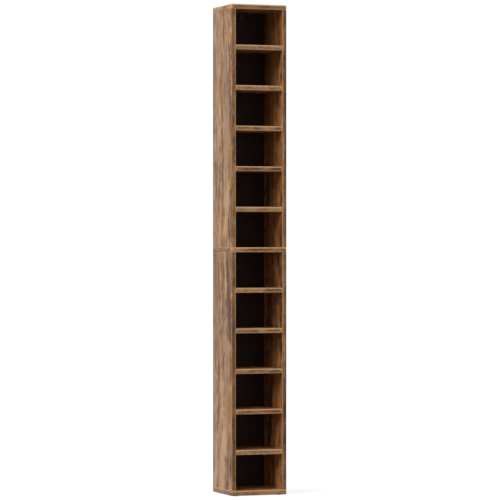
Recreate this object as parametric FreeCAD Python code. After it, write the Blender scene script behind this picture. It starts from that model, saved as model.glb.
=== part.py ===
import FreeCAD, Part
import os

# A tall open tower for CD and DVD cases, made of wood-effect laminated board.
# Two pairs of side panels stand between full-width top, middle and bottom panels,
# five loose shelves sit in each half on concealed pins, and thin hardboard backs
# slide in grooves.  Cam locks under thin caps, bolts and dowels draw the carcass together.
#
# Frame: millimetres, +Z up, origin on the floor under the middle of the tower.
# The open front faces -Y, the left side panels are at -X.

Vector = FreeCAD.Vector
tiny = 0.01                     # two places closer than this are the same place

# ---- driving dimensions ----
tower_width = 210.0
tower_depth = 195.0
tower_height = 1760.0
board = 18.0                    # thickness of the wide panels and the shelves
side_board = 16.0               # thickness of the side panels
spaces_per_half = 6             # compartments above and below the middle panel
arris = 1.0                     # bevel along the banded edges
pin_flats = 10                  # flats round a shelf pin, and round its hole
small_flats = 12                # flats round a dowel or bolt, and round its hole
cam_flats = 24

glide_height = 2.0
glide_radius = 10.0
glide_sole_radius = 9.0
glide_inset = 22.0              # from the outer faces to a glide's middle

back_thickness = 3.0
back_inset = 10.0               # from the rear edge to the back panel
groove_depth = 6.0
back_edge_in_groove = 5.0

shelf_front_setback = 1.5
shelf_end_gap = 0.5
shelf_back_gap = 1.0

pin_radius = 2.5
pin_in_panel = 9.0
pin_in_shelf = 7.0
pin_edge_distance = 37.0        # from the front edge, and from the back panel
recess_width = 6.0              # slot under a shelf's end that hides a pin
recess_height = 5.5
recess_length = 8.0

cam_setback = 34.0              # from a side panel's end to a cam's middle
cam_bore_radius = 7.5
cam_bore_depth = 12.5
cam_radius = 7.4
cam_face_recess = 0.3
cam_cavity_height = 7.4
cam_slot_width = 4.2
cam_mouth_width = 7.2
cam_cross_length = 9.0
cam_cross_width = 1.6
cam_cross_depth = 2.0

cap_radius = 9.0                # cap over a cam, stuck on the panel's inner face
cap_thickness = 0.8
cap_plug_length = 7.0           # the cap's plug sits in the cam's cross
cap_plug_width = 1.4
cap_plug_depth = 1.5

bolt_radius = 2.5
bolt_in_board = 11.0
bolt_bore_radius = 4.0
bolt_head_radius = 3.5
bolt_head_length = 4.0
bolt_neck_radius = 1.9
bolt_neck_length = 6.0

dowel_radius = 4.0
dowel_length = 30.0
dowel_in_panel_end = 21.0
dowel_rows = (-67.5, 62.5)      # y of the front and the rear dowel

bracket_width = 20.0
bracket_leg = 24.0
bracket_sheet = 2.0
bracket_bend = 3.0
wall_hole_radius = 2.5
wall_hole_drop = 15.0           # from the top panel's underside to the wall hole
screw_hole_radius = 2.0
screw_shank_radius = 1.6
screw_length = 12.0
screw_head_radius = 3.8
screw_head_height = 2.2

# ---- worked out from them ----
half_width = tower_width / 2
half_depth = tower_depth / 2
inner_x = half_width - side_board
side_middle_x = half_width - side_board / 2
front_y = -half_depth
back_rear_y = half_depth - back_inset
back_front_y = back_rear_y - back_thickness
pin_rows = (front_y + pin_edge_distance, back_front_y - pin_edge_distance)
cam_row = sum(dowel_rows) / 2
pitch = (tower_height - glide_height - board) / (2 * spaces_per_half)
middle_level = spaces_per_half
top_level = 2 * spaces_per_half


def board_z(level):
    """Height of the underside of the horizontal board at this level, 0 at the base."""
    return glide_height + level * pitch


def box(x0, x1, y0, y1, z0, z1):
    corner = Vector(min(x0, x1), min(y0, y1), min(z0, z1))
    return Part.makeBox(abs(x1 - x0), abs(y1 - y0), abs(z1 - z0), corner)


def rod(radius, start, direction, length):
    return Part.makeCylinder(radius, length, Vector(*start), Vector(*direction))


def peg(radius, start, direction, length, flats=small_flats):
    """A small round piece or hole drawn with flats, so that the many of them stay light."""
    foot = Vector(*start)
    axis = Vector(*direction)
    arm = (Vector(1, 0, 0) if axis.z else Vector(0, 0, 1)) * radius
    corners = [foot + FreeCAD.Rotation(axis, 360.0 * turn / flats).multVec(arm) for turn in range(flats)]
    outline = Part.Face(Part.makePolygon(corners + corners[:1]))
    return outline.extrude(axis * length)


def stepped(make, steps, start, direction):
    """Round pieces end to end along a direction, from (radius, length) steps."""
    pieces = []
    foot = Vector(*start)
    for radius, length in steps:
        pieces.append(make(radius, foot, direction, length))
        foot = foot + Vector(*direction) * length
    return pieces[0].multiFuse(pieces[1:])


def bevel(solid, wanted):
    return solid.makeChamfer(arris, [edge for edge in solid.Edges if wanted(edge)])


def lies_at_y(edge, y):
    return all(abs(vertex.Y - y) < tiny for vertex in edge.Vertexes)


def runs_along_end(edge):
    """True for an edge from front to rear along one of a wide panel's two ends."""
    first, last = edge.Vertexes[0], edge.Vertexes[-1]
    return abs(first.Y - last.Y) > tiny and abs(abs(first.X) - half_width) < tiny


# ---- horizontal panels ----
def wide_panel(level, joins_up, joins_down):
    """A full-width panel, drilled and grooved on the faces that meet side panels."""
    low = board_z(level)
    high = low + board
    panel = box(-half_width, half_width, -half_depth, half_depth, low, high)
    panel = bevel(panel, lambda edge: lies_at_y(edge, front_y) or runs_along_end(edge))
    cuts = []
    groove_x = inner_x + back_edge_in_groove
    for joins, face, inward in ((joins_up, high, -1), (joins_down, low, 1)):
        if not joins:
            continue
        bottom = face + inward * groove_depth
        cuts.append(box(-groove_x, groove_x, back_front_y, back_rear_y, face, bottom))
    through = joins_up and joins_down
    face = low if joins_down else high
    inward = 1 if joins_down else -1
    bolt_depth = board if through else bolt_in_board
    dowel_depth = board if through else dowel_length - dowel_in_panel_end
    for side in (-1, 1):
        x = side * side_middle_x
        cuts.append(peg(bolt_radius, (x, cam_row, face), (0, 0, inward), bolt_depth))
        for y in dowel_rows:
            cuts.append(peg(dowel_radius, (x, y, face), (0, 0, inward), dowel_depth))
    return panel.cut(cuts)


def top_panel():
    panel = wide_panel(top_level, joins_up=False, joins_down=True)
    pilot = rod(screw_shank_radius, (0, bracket_screw_y(), board_z(top_level)), (0, 0, 1), screw_depth())
    return panel.cut(pilot)


# ---- side panels ----
def side_panel(side, low_level):
    """One side of one half, from the board at low_level up to the next wide panel."""
    low = board_z(low_level) + board
    high = board_z(low_level + spaces_per_half)
    outer = side * half_width
    inner = side * inner_x
    panel = box(outer, inner, -half_depth, half_depth, low, high)
    panel = bevel(panel, lambda edge: lies_at_y(edge, front_y) and edge.Length > side_board + tiny)
    groove_bottom = inner + side * groove_depth
    cuts = [box(inner, groove_bottom, back_front_y, back_rear_y, low, high)]
    x = side * side_middle_x
    for end, inward in ((low, 1), (high, -1)):
        cuts.append(peg(bolt_bore_radius, (x, cam_row, end), (0, 0, inward), cam_setback))
        cam_z = end + inward * cam_setback
        cuts.append(peg(cam_bore_radius, (inner, cam_row, cam_z), (side, 0, 0), cam_bore_depth, cam_flats))
        for y in dowel_rows:
            cuts.append(peg(dowel_radius, (x, y, end), (0, 0, inward), dowel_in_panel_end))
    for z in pin_heights(low_level) + spare_pin_heights(low_level):
        for y in pin_rows:
            cuts.append(peg(pin_radius, (inner, y, z), (side, 0, 0), pin_in_panel, pin_flats))
    return panel.cut(cuts)


def pin_heights(low_level):
    """Pins that carry the five shelves of one half."""
    levels = range(low_level + 1, low_level + spaces_per_half)
    return [board_z(level) + recess_height - pin_radius for level in levels]


def spare_pin_heights(low_level):
    """Holes that take two of the shelves when a half is set to four taller DVD spaces."""
    levels = (low_level + spaces_per_half / 4, low_level + 3 * spaces_per_half / 4)
    return [board_z(level) + recess_height - pin_radius for level in levels]


# ---- shelves and backs ----
def shelf(level):
    low = board_z(level)
    end_x = inner_x - shelf_end_gap
    front = front_y + shelf_front_setback
    plank = box(-end_x, end_x, front, back_front_y - shelf_back_gap, low, low + board)
    plank = bevel(plank, lambda edge: lies_at_y(edge, front) and edge.Length > board + tiny)
    recesses = []
    for side in (-1, 1):
        for y in pin_rows:
            recesses.append(box(side * end_x, side * (end_x - recess_length),
                                y - recess_width / 2, y + recess_width / 2, low, low + recess_height))
    return plank.cut(recesses)


def back_panel(low_level):
    """A hardboard sheet whose four edges sit in the grooves of one half."""
    edge_x = inner_x + back_edge_in_groove
    low = board_z(low_level) + board - back_edge_in_groove
    high = board_z(low_level + spaces_per_half) + back_edge_in_groove
    return box(-edge_x, edge_x, back_front_y, back_rear_y, low, high)


def upper_back_panel():
    hole = rod(wall_hole_radius, (0, back_front_y, wall_hole_z()), (0, 1, 0), back_thickness)
    return back_panel(middle_level).cut(hole)


# ---- cam locks, bolts and dowels ----
def cam_lock(side, end, inward):
    """A cam in a side panel's inner face, turned so that its slot grips the bolt's neck."""
    centre_z = end + inward * cam_setback
    axis_x = side * side_middle_x
    face = side * (inner_x + cam_face_recess)
    height = cam_bore_depth - cam_face_recess
    reach = cam_radius + 1.0
    cavity_radius = (bolt_head_radius ** 2 + (bolt_head_length / 2) ** 2) ** 0.5
    cam = peg(cam_radius, (face, cam_row, centre_z), (side, 0, 0), height, cam_flats)
    cavity_start = axis_x - side * cam_cavity_height / 2
    cavity = peg(cavity_radius, (cavity_start, cam_row, centre_z), (side, 0, 0), cam_cavity_height)
    half_slot = cam_slot_width / 2
    slot = box(axis_x - half_slot, axis_x + half_slot, cam_row - reach, cam_row + reach,
               centre_z, centre_z - inward * reach)
    half_mouth = cam_mouth_width / 2
    mouth = box(axis_x - half_mouth, axis_x + half_mouth, cam_row - half_mouth, cam_row + half_mouth,
                centre_z, centre_z + inward * reach)
    half_bar = cam_cross_width / 2
    half_cross = cam_cross_length / 2
    cross_end = face + side * cam_cross_depth
    cuts = [cavity, slot, mouth]
    for half_y, half_z in ((half_bar, half_cross), (half_cross, half_bar)):
        cuts.append(box(face, cross_end, cam_row - half_y, cam_row + half_y,
                        centre_z - half_z, centre_z + half_z))
    return cam.cut(cuts)


def cam_cap(side, end, inward):
    """A thin cap that hides a cam, held by a plug in the cam's cross."""
    centre_z = end + inward * cam_setback
    face = side * inner_x
    cap = peg(cap_radius, (face, cam_row, centre_z), (-side, 0, 0), cap_thickness, cam_flats)
    plug_end = face + side * (cam_face_recess + cap_plug_depth)
    half_length = cap_plug_length / 2
    half_plug = cap_plug_width / 2
    plug = box(face, plug_end, cam_row - half_plug, cam_row + half_plug,
               centre_z - half_length, centre_z + half_length)
    return cap.fuse(plug)


def bolt_tip_steps():
    """Shank beyond a wide panel's face, neck and head, up to the head's end in the cam."""
    neck_start = cam_setback - bolt_head_length / 2 - bolt_neck_length
    neck = (bolt_neck_radius, bolt_neck_length)
    head = (bolt_head_radius, bolt_head_length)
    return [(bolt_radius, neck_start), neck, head]


def cam_bolt(side, face, outward):
    """A bolt screwed into a wide panel's face, with its head in the cam."""
    shank, neck, head = bolt_tip_steps()
    steps = [(bolt_radius, bolt_in_board + shank[1]), neck, head]
    tip = (side * side_middle_x, cam_row, face - outward * bolt_in_board)
    return stepped(peg, steps, tip, (0, 0, outward))


def double_cam_bolt(side):
    """A headed bolt through the middle panel, gripped by a cam above and a cam below."""
    shank, neck, head = bolt_tip_steps()
    steps = [head, neck, (bolt_radius, 2 * shank[1] + board), neck, head]
    length = sum(step[1] for step in steps)
    start = board_z(middle_level) + board / 2 - length / 2
    return stepped(peg, steps, (side * side_middle_x, cam_row, start), (0, 0, 1))


def side_ends():
    """Every side panel end: side, height of the end, direction into the panel."""
    ends = []
    for side in (-1, 1):
        for low_level in (0, middle_level):
            ends.append((side, board_z(low_level) + board, 1))
            ends.append((side, board_z(low_level + spaces_per_half), -1))
    return ends


def outer_ends():
    """The ends at the bottom and the top panel, where single bolts and dowels are used."""
    middle = board_z(middle_level) + board / 2
    return [end for end in side_ends() if abs(end[1] - middle) > board]


def end_dowels():
    pins = []
    for side, end, inward in outer_ends():
        start = end - inward * (dowel_length - dowel_in_panel_end)
        for y in dowel_rows:
            pins.append(peg(dowel_radius, (side * side_middle_x, y, start), (0, 0, inward), dowel_length))
    return pins


def through_dowels():
    low = board_z(middle_level) - dowel_in_panel_end
    length = board + 2 * dowel_in_panel_end
    return [peg(dowel_radius, (side * side_middle_x, y, low), (0, 0, 1), length)
            for side in (-1, 1) for y in dowel_rows]


def shelf_pins(side):
    pins = []
    for low_level in (0, middle_level):
        for z in pin_heights(low_level):
            for y in pin_rows:
                start = side * (inner_x + pin_in_panel)
                length = pin_in_panel + pin_in_shelf
                pins.append(peg(pin_radius, (start, y, z), (-side, 0, 0), length, pin_flats))
    return pins


# ---- glides and wall fixing ----
def glides():
    discs = []
    for side in (-1, 1):
        for end in (-1, 1):
            centre = Vector(side * (half_width - glide_inset), end * (half_depth - glide_inset), 0)
            discs.append(Part.makeCone(glide_sole_radius, glide_radius, glide_height, centre))
    return discs


def wall_hole_z():
    return board_z(top_level) - wall_hole_drop


def bracket_screw_y():
    return back_front_y - wall_hole_drop


def screw_depth():
    return screw_length - bracket_sheet


def wall_bracket():
    """A small steel angle under the top panel, against the back, that takes the wall screw."""
    ceiling = board_z(top_level)
    wall = back_front_y
    half = bracket_width / 2
    flat = box(-half, half, wall - bracket_leg, wall, ceiling - bracket_sheet, ceiling)
    upright = box(-half, half, wall - bracket_sheet, wall, ceiling - bracket_leg, ceiling)
    angle = flat.fuse(upright).removeSplitter()
    inner_bend = [edge for edge in angle.Edges
                  if lies_at_y(edge, wall - bracket_sheet)
                  and all(abs(vertex.Z - ceiling + bracket_sheet) < tiny for vertex in edge.Vertexes)]
    angle = angle.makeFillet(bracket_bend, inner_bend)
    wall_hole = rod(wall_hole_radius, (0, wall - bracket_sheet, wall_hole_z()), (0, 1, 0), bracket_sheet)
    screw_foot = (0, bracket_screw_y(), ceiling - bracket_sheet)
    screw_hole = rod(screw_hole_radius, screw_foot, (0, 0, 1), bracket_sheet)
    return angle.cut([wall_hole, screw_hole])


def bracket_screw():
    seat = board_z(top_level) - bracket_sheet
    start = (0, bracket_screw_y(), seat - screw_head_height)
    steps = [(screw_head_radius, screw_head_height), (screw_shank_radius, screw_length)]
    return stepped(rod, steps, start, (0, 0, 1))


# ---- the tower, node by node ----
def nodes():
    made = {}
    made["bottom_panel"] = wide_panel(0, joins_up=True, joins_down=False)
    made["middle_panel"] = wide_panel(middle_level, joins_up=True, joins_down=True)
    made["top_panel"] = top_panel()
    for half, low_level in (("lower", 0), ("upper", middle_level)):
        for name, side in (("left", -1), ("right", 1)):
            made[f"{half}_{name}_side_panel"] = side_panel(side, low_level)
    made["lower_back_panel"] = back_panel(0)
    made["upper_back_panel"] = upper_back_panel()
    shelf_levels = [level for level in range(1, top_level) if level != middle_level]
    for number, level in enumerate(shelf_levels, start=1):
        made[f"shelf_{number:02d}"] = shelf(level)
    made["cam_locks"] = Part.makeCompound([cam_lock(*end) for end in side_ends()])
    made["cam_caps"] = Part.makeCompound([cam_cap(*end) for end in side_ends()])
    made["cam_bolts"] = Part.makeCompound([cam_bolt(*end) for end in outer_ends()])
    made["double_cam_bolts"] = Part.makeCompound([double_cam_bolt(side) for side in (-1, 1)])
    made["end_dowels"] = Part.makeCompound(end_dowels())
    made["through_dowels"] = Part.makeCompound(through_dowels())
    made["left_shelf_pins"] = Part.makeCompound(shelf_pins(-1))
    made["right_shelf_pins"] = Part.makeCompound(shelf_pins(1))
    made["glides"] = Part.makeCompound(glides())
    made["wall_bracket"] = wall_bracket()
    made["bracket_screw"] = bracket_screw()
    return made


os.makedirs("parts", exist_ok=True)
for node, shape in nodes().items():
    shape.exportStep(f"parts/{node}.step")
    print(node, "solids", len(shape.Solids), "volume", round(shape.Volume), "valid", shape.isValid())
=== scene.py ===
import functools
import math
import random

import bmesh
import bpy
from mathutils import Matrix, Vector


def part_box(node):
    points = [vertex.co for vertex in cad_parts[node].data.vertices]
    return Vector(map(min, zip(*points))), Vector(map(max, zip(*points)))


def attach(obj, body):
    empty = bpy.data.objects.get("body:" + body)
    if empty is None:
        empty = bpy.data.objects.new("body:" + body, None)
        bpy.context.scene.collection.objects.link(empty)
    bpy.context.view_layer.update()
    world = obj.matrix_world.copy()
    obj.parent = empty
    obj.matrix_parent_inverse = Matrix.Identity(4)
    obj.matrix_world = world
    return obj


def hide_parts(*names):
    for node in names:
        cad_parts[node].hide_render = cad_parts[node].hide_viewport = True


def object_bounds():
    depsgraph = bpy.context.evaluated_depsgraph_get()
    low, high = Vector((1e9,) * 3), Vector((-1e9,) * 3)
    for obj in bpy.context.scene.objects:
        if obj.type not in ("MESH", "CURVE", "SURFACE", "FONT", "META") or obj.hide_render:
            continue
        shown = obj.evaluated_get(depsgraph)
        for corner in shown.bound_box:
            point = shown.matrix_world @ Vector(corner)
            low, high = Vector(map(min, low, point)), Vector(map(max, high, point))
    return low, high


# A tall open tower for CD and DVD cases, in rustic brown laminate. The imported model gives
# every place and size, in metres, with +Z up and the open front towards -Y. The boards and
# fittings are made again here with rounded arrises, real drillings, threads and a printed
# grain, and each one stands in for its plain solid.

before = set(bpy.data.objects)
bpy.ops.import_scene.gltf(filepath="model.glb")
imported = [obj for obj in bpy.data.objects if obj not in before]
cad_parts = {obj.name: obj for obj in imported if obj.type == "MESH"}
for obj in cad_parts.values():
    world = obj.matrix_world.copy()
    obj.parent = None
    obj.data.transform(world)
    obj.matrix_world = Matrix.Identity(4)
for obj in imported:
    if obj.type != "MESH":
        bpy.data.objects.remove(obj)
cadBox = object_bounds()
print("packed tower loaded,", len(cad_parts), "nodes")

nearly = 0.00002                   # places closer than this are the same place
millimetre = 0.001
smoothAngle = math.radians(35)     # faces that meet more sharply than this keep a hard edge


def srgb(red, green, blue):
    # a colour as it looks on a screen, 0 to 255, in the shader's linear values
    shares = [value / 255 for value in (red, green, blue)]
    linear = [share / 12.92 if share <= 0.04045 else ((share + 0.055) / 1.055) ** 2.4
              for share in shares]
    return (*linear, 1.0)


# shader node helpers: each works in the tree of the sockets it is given, and most return the
# socket that carries the result

def treeOf(values):
    return next(value for value in values if isinstance(value, bpy.types.NodeSocket)).id_data


def feed(socket, value):
    if isinstance(value, bpy.types.NodeSocket):
        socket.id_data.links.new(value, socket)
    elif value is not None:
        socket.default_value = value


def newNode(kind, *values):
    # the values go into the first inputs, in their order
    node = treeOf(values).nodes.new("ShaderNode" + kind)
    for socket, value in zip(node.inputs, values):
        feed(socket, value)
    return node


def doMath(operation, *values, clamp=False):
    node = newNode("Math", *values)
    node.operation = operation
    node.use_clamp = clamp
    return node.outputs[0]


add = functools.partial(doMath, "ADD")
subtract = functools.partial(doMath, "SUBTRACT")
multiply = functools.partial(doMath, "MULTIPLY")
divide = functools.partial(doMath, "DIVIDE")
multiplyAdd = functools.partial(doMath, "MULTIPLY_ADD")
smallest = functools.partial(doMath, "MINIMUM")
largest = functools.partial(doMath, "MAXIMUM")
sizeOf = functools.partial(doMath, "ABSOLUTE")


def doVector(operation, *values, result="Vector"):
    node = newNode("VectorMath", *values)
    node.operation = operation
    return node.outputs[result]


def mixColours(share, under, over):
    node = newNode("Mix", share)
    node.data_type = "RGBA"
    feed(node.inputs[6], under)      # the colour pair of a node that also mixes other kinds
    feed(node.inputs[7], over)
    return node.outputs[2]


def spread(value, low, high, newLow=0.0, newHigh=1.0, smooth=True):
    # value from low..high to newLow..newHigh, held at both ends
    node = newNode("MapRange", value, low, high, newLow, newHigh)
    node.interpolation_type = "SMOOTHSTEP" if smooth else "LINEAR"
    return node.outputs[0]


def newPattern(kind, dimensions, place, scale):
    # scale is how many cells fit in a metre: one number for every axis, one for each of the
    # three, or two for a flat pattern
    scales = (scale,) * 3 if isinstance(scale, float) else scale
    node = newNode(kind, doVector("MULTIPLY", place, (*scales, 1.0)[:3]))
    setattr(node, dimensions, f"{len(scales)}D")
    node.inputs["Scale"].default_value = 1.0
    return node


def noise(place, scale, detail=2.0, roughness=0.5):
    node = newPattern("TexNoise", "noise_dimensions", place, scale)
    node.inputs["Detail"].default_value = detail
    node.inputs["Roughness"].default_value = roughness
    return node.outputs["Fac"]


def swing(*noiseValues):
    # noise about zero instead of about a half
    return subtract(noise(*noiseValues), 0.5)


def cells(place, scale):
    node = newPattern("TexVoronoi", "voronoi_dimensions", place, scale)
    return node.outputs["Distance"], node.outputs["Color"]


def splitVector(vector):
    return newNode("SeparateXYZ", vector).outputs


def newGroup(name, outputs, **inputs):
    # an input that starts with nothing is a vector, one with a number a value, any other a colour
    tree = bpy.data.node_groups.new(name, "ShaderNodeTree")
    for label, start in inputs.items():
        kind = "Vector" if start is None else "Float" if isinstance(start, float) else "Color"
        socket = tree.interface.new_socket(label, in_out="INPUT", socket_type="NodeSocket" + kind)
        if start is not None:
            socket.default_value = start
    for label in outputs:
        kind = "Color" if label == "Color" else "Float"
        tree.interface.new_socket(label, in_out="OUTPUT", socket_type="NodeSocket" + kind)
    return tree.nodes.new("NodeGroupInput").outputs, tree.nodes.new("NodeGroupOutput").inputs


def useGroup(name, **values):
    node = treeOf(values.values()).nodes.new("ShaderNodeGroup")
    node.node_tree = bpy.data.node_groups[name]
    for label, value in values.items():
        feed(node.inputs[label], value)
    return node.outputs


# the printed wood grain, on a flat place in metres: x across the grain, y along it

grainPattern = {                     # how many cells fit in a metre, across and along
    "sweep": (5.0, 1.5),
    "ripple": (30.0, 9.0),
    "knots": (12.0, 4.4),
    "rings": (7.0, 0.55),
    "ringForce": (22.0, 3.0),
    "hairs": (95.0, 1.6),
    "hairBundles": (32.0, 4.0),
    "pores": (1500.0, 75.0),
    "fibres": (900.0, 20.0),
    "cracks": (75.0, 3.0),
    "crackPlaces": (24.0, 7.0),
    "grey": (15.0, 2.4),
    "amber": (19.0, 3.2),
    # layers of streaks and of broad patches, each with its force
    "streaks": (((150.0, 5.0), 0.75), ((72.0, 22.0), 0.95), ((115.0, 40.0), 0.7), ((40.0, 11.0), 0.7)),
    "patches": (((24.0, 0.8), 0.9), ((17.0, 2.6), 0.7), ((30.0, 14.0), 0.7)),
    "sweepReach": 0.05,              # how far the lines wander sideways, in metres
    "rippleReach": 0.006,
    "knotless": 0.6,                 # share of the cells that hold no knot
    "knotSizes": (0.05, 0.13),
    "ringLines": 26.0,               # contour lines over the whole range of the noise
    "hairLines": 13.0,
}


def buildPrintedGrain():
    pattern = grainPattern
    brown = srgb(158, 127, 101)
    given, made = newGroup("printedGrain", ("Color", "Roughness", "Height"), Place=None, Ground=brown,
                           Pale=brown, Deep=brown, Grey=brown, Amber=brown, Crack=brown, Streaks=1.0,
                           Patches=1.0, Marks=1.0)
    place, marks, patches = given["Place"], given["Marks"], given["Patches"]

    # the lines wander slowly and ripple a little
    shift = add(multiply(swing(place, pattern["sweep"], 1.0), pattern["sweepReach"]),
                multiply(swing(place, pattern["ripple"]), pattern["rippleReach"]))
    bent = doVector("ADD", place, newNode("CombineXYZ", shift).outputs[0])

    # knots: some cells hold one, long along the grain, and the lines flow round it
    distance, chance = cells(place, pattern["knots"])
    lot = splitVector(chance)
    holdsKnot = multiply(doMath("GREATER_THAN", lot[0], pattern["knotless"]), marks)
    reach = divide(distance, spread(lot[1], 0.0, 1.0, *pattern["knotSizes"]))
    bulge = multiply(spread(reach, 0.4, 3.4, 1.0, 0.0), holdsKnot)
    knot = multiply(spread(reach, 0.45, 1.15, 1.0, 0.0), holdsKnot)

    # growth rings: contour lines of a stretched noise, soft on one side and crisp on the other
    field = noise(bent, pattern["rings"], 1.0, 0.4)
    phase = doMath("FRACT", add(multiply(field, pattern["ringLines"]), multiply(bulge, 2.6)))
    lateWood = multiply(spread(phase, 0.25, 0.93), spread(phase, 0.93, 1.0, 1.0, 0.0))
    lateWood = multiply(lateWood, spread(noise(place, pattern["ringForce"]), 0.35, 0.68, 0.15, 1.0))

    # hair lines: thin, crisp and dark, in loose bundles
    hairPhase = doMath("FRACT", add(multiply(noise(bent, pattern["hairs"]), pattern["hairLines"]), bulge))
    bundles = spread(noise(place, pattern["hairBundles"], 3.0, 0.6), 0.44, 0.62)
    hair = multiply(spread(hairPhase, 0.0, 0.16, 1.0, 0.0), bundles)

    # streaks, fibres and pores, from a few millimetres wide down to a scratch
    pore = spread(noise(bent, pattern["pores"], 1.0), 0.6, 0.72)
    fibre = noise(bent, pattern["fibres"], 4.0, 0.65)
    tone = 0.55
    for scale, force in pattern["streaks"]:
        tone = multiplyAdd(swing(bent, scale, 5.0, 0.62), force, tone)
    tone = multiplyAdd(subtract(fibre, 0.5), 0.9, tone)
    tone = subtract(tone, multiply(lateWood, 0.2))
    tone = multiplyAdd(subtract(tone, 0.5), given["Streaks"], 0.5)
    for scale, force in pattern["patches"]:
        tone = multiplyAdd(swing(bent, scale), multiply(patches, force), tone)

    colour = mixColours(spread(tone, 0.5, 0.05, smooth=False), given["Ground"], given["Deep"])
    colour = mixColours(spread(tone, 0.5, 0.95, smooth=False), colour, given["Pale"])
    colour = mixColours(multiply(hair, multiply(marks, 0.5)), colour, given["Deep"])

    # patches where the print turns grey or amber, keeping the tone under them
    for name, start in (("grey", place), ("amber", doVector("ADD", place, (3.7, 1.9, 0.0)))):
        share = spread(noise(start, pattern[name], 3.0, 0.55), 0.47, 0.66)
        colour = mixColours(multiply(share, multiply(patches, 0.3)), colour, given[name.title()])

    # fine cracks along the grain, pale on both lips, only here and there
    ridge = sizeOf(swing(bent, pattern["cracks"]))
    where = spread(noise(doVector("ADD", place, (1.3, 6.1, 0.0)), pattern["crackPlaces"]), 0.55, 0.66)
    where = multiply(where, marks)
    lips = multiply(spread(ridge, 0.02, 0.05, 1.0, 0.0), where)
    crack = multiply(spread(ridge, 0.004, 0.016, 1.0, 0.0), where)
    colour = mixColours(multiply(lips, 0.45), colour, given["Pale"])
    colour = mixColours(multiply(crack, 0.85), colour, given["Crack"])

    # the knot itself, darkest at its heart, and the pores over everything
    colour = mixColours(multiply(knot, spread(reach, 0.1, 0.8, 0.95, 0.55)), colour, given["Crack"])
    colour = mixColours(multiply(pore, multiply(marks, 0.42)), colour, given["Deep"])

    feed(made["Color"], colour)
    feed(made["Roughness"], spread(tone, 0.2, 0.8, 0.58, 0.46))
    sunk = add(multiply(largest(pore, hair), 0.5), crack)
    feed(made["Height"], multiplyAdd(fibre, 0.35, subtract(0.6, sunk)))


edgePattern = {
    "nickCells": 140.0,                  # in a metre of worn arris
    "glueSetBack": 1.1 * millimetre,     # how far behind the arris the edge band is glued on
    "glueDark": 0.04 * millimetre,       # this near to the glue line it is at its darkest
    "glueGone": 0.22 * millimetre,
}


# how near a point of a board lies to one of its arrises: 1 on the arris, 0 away from it.
# The side vector points to where a band's arrises take a painted highlight besides their wear, and a
# painted shade mask grows towards the other side

def buildEdgeWearHighlightShade():
    given, made = newGroup("edgeWearHighlightShade", ("NearArris", "Seam", "PaintedShade", "Rear"), Point=None, Low=None, High=None,
                           Width=1.5 * millimetre, Raggedness=0.6, Favour=None)
    fromLow = doVector("SUBTRACT", given["Point"], given["Low"])
    fromHigh = doVector("SUBTRACT", given["High"], given["Point"])
    x, y, z = splitVector(doVector("ABSOLUTE", doVector("MINIMUM", fromLow, fromHigh)))
    # the middle one of the three distances is the one to the nearest arris
    distance = largest(smallest(x, y), smallest(largest(x, y), z))
    nicks = swing(given["Point"], edgePattern["nickCells"], 4.0, 0.65)
    ragged = multiplyAdd(nicks, multiply(given["Raggedness"], 3.0), 1.0)
    share = divide(distance, multiply(given["Width"], largest(ragged, 0.15)))
    size = doVector("SUBTRACT", given["High"], given["Low"])
    across = doVector("DIVIDE", doVector("SUBTRACT", fromLow, fromHigh), size)
    lean = doVector("DOT_PRODUCT", given["Favour"], across, result="Value")
    most = doVector("LENGTH", given["Favour"], result="Value")
    kept = subtract(add(lean, 1.0), most, clamp=True)
    feed(made["NearArris"], multiply(spread(share, 0.35, 1.15, 1.0, 0.0), kept))
    feed(made["PaintedShade"], multiply(lean, -1.0, clamp=True))
    feed(made["Rear"], spread(splitVector(across)[1], -1.0, 1.0, smooth=False))
    # the glue line of the edge band shows as a hair line just behind the arris
    offLine = sizeOf(subtract(distance, edgePattern["glueSetBack"]))
    feed(made["Seam"], spread(offLine, edgePattern["glueDark"], edgePattern["glueGone"], 1.0, 0.0))


chipPattern = {                      # cells in a metre
    "chips": (420.0, 420.0, 700.0),
    "dust": 900.0,
}


def buildChipboard():
    given, made = newGroup("chipboard", ("Color", "Height"), Point=None, Light=srgb(205, 176, 134),
                           Dark=srgb(122, 91, 60))
    coarse, tint = cells(given["Point"], chipPattern["chips"])
    fine = noise(given["Point"], chipPattern["dust"], 3.0, 0.6)
    tone = multiplyAdd(subtract(fine, 0.5), 0.9, multiplyAdd(splitVector(tint)[0], 0.55, 0.2))
    feed(made["Color"], mixColours(add(tone, 0.0, clamp=True), given["Dark"], given["Light"]))
    feed(made["Height"], subtract(fine, coarse))


# faint smears and fine scratches that break up a smooth finish

handlingPattern = {                  # cells in a metre
    "smears": (28.0, 28.0, 11.0),
    "scratches": (900.0, 900.0, 60.0),
}


def buildHandling():
    given, made = newGroup("handling", ("Roughness", "Scratches"), Point=None, Amount=0.1, Base=0.4)
    shift = multiply(swing(given["Point"], handlingPattern["smears"], 3.0, 0.6), given["Amount"])
    lines = spread(noise(given["Point"], handlingPattern["scratches"], 2.0, 0.7), 0.62, 0.7)
    rough = add(given["Base"], multiply(shift, 4.0))
    feed(made["Roughness"], multiplyAdd(lines, given["Amount"], rough, clamp=True))
    feed(made["Scratches"], lines)


for build in (buildPrintedGrain, buildEdgeWearHighlightShade, buildChipboard, buildHandling):
    build()
print("shader groups built")


# materials

def newMaterial(name):
    # returns the material, and the socket that gives a point's place on the object
    material = bpy.data.materials.new(name)
    material.use_nodes = True
    return material, material.node_tree.nodes.new("ShaderNodeTexCoord").outputs["Object"]


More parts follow.
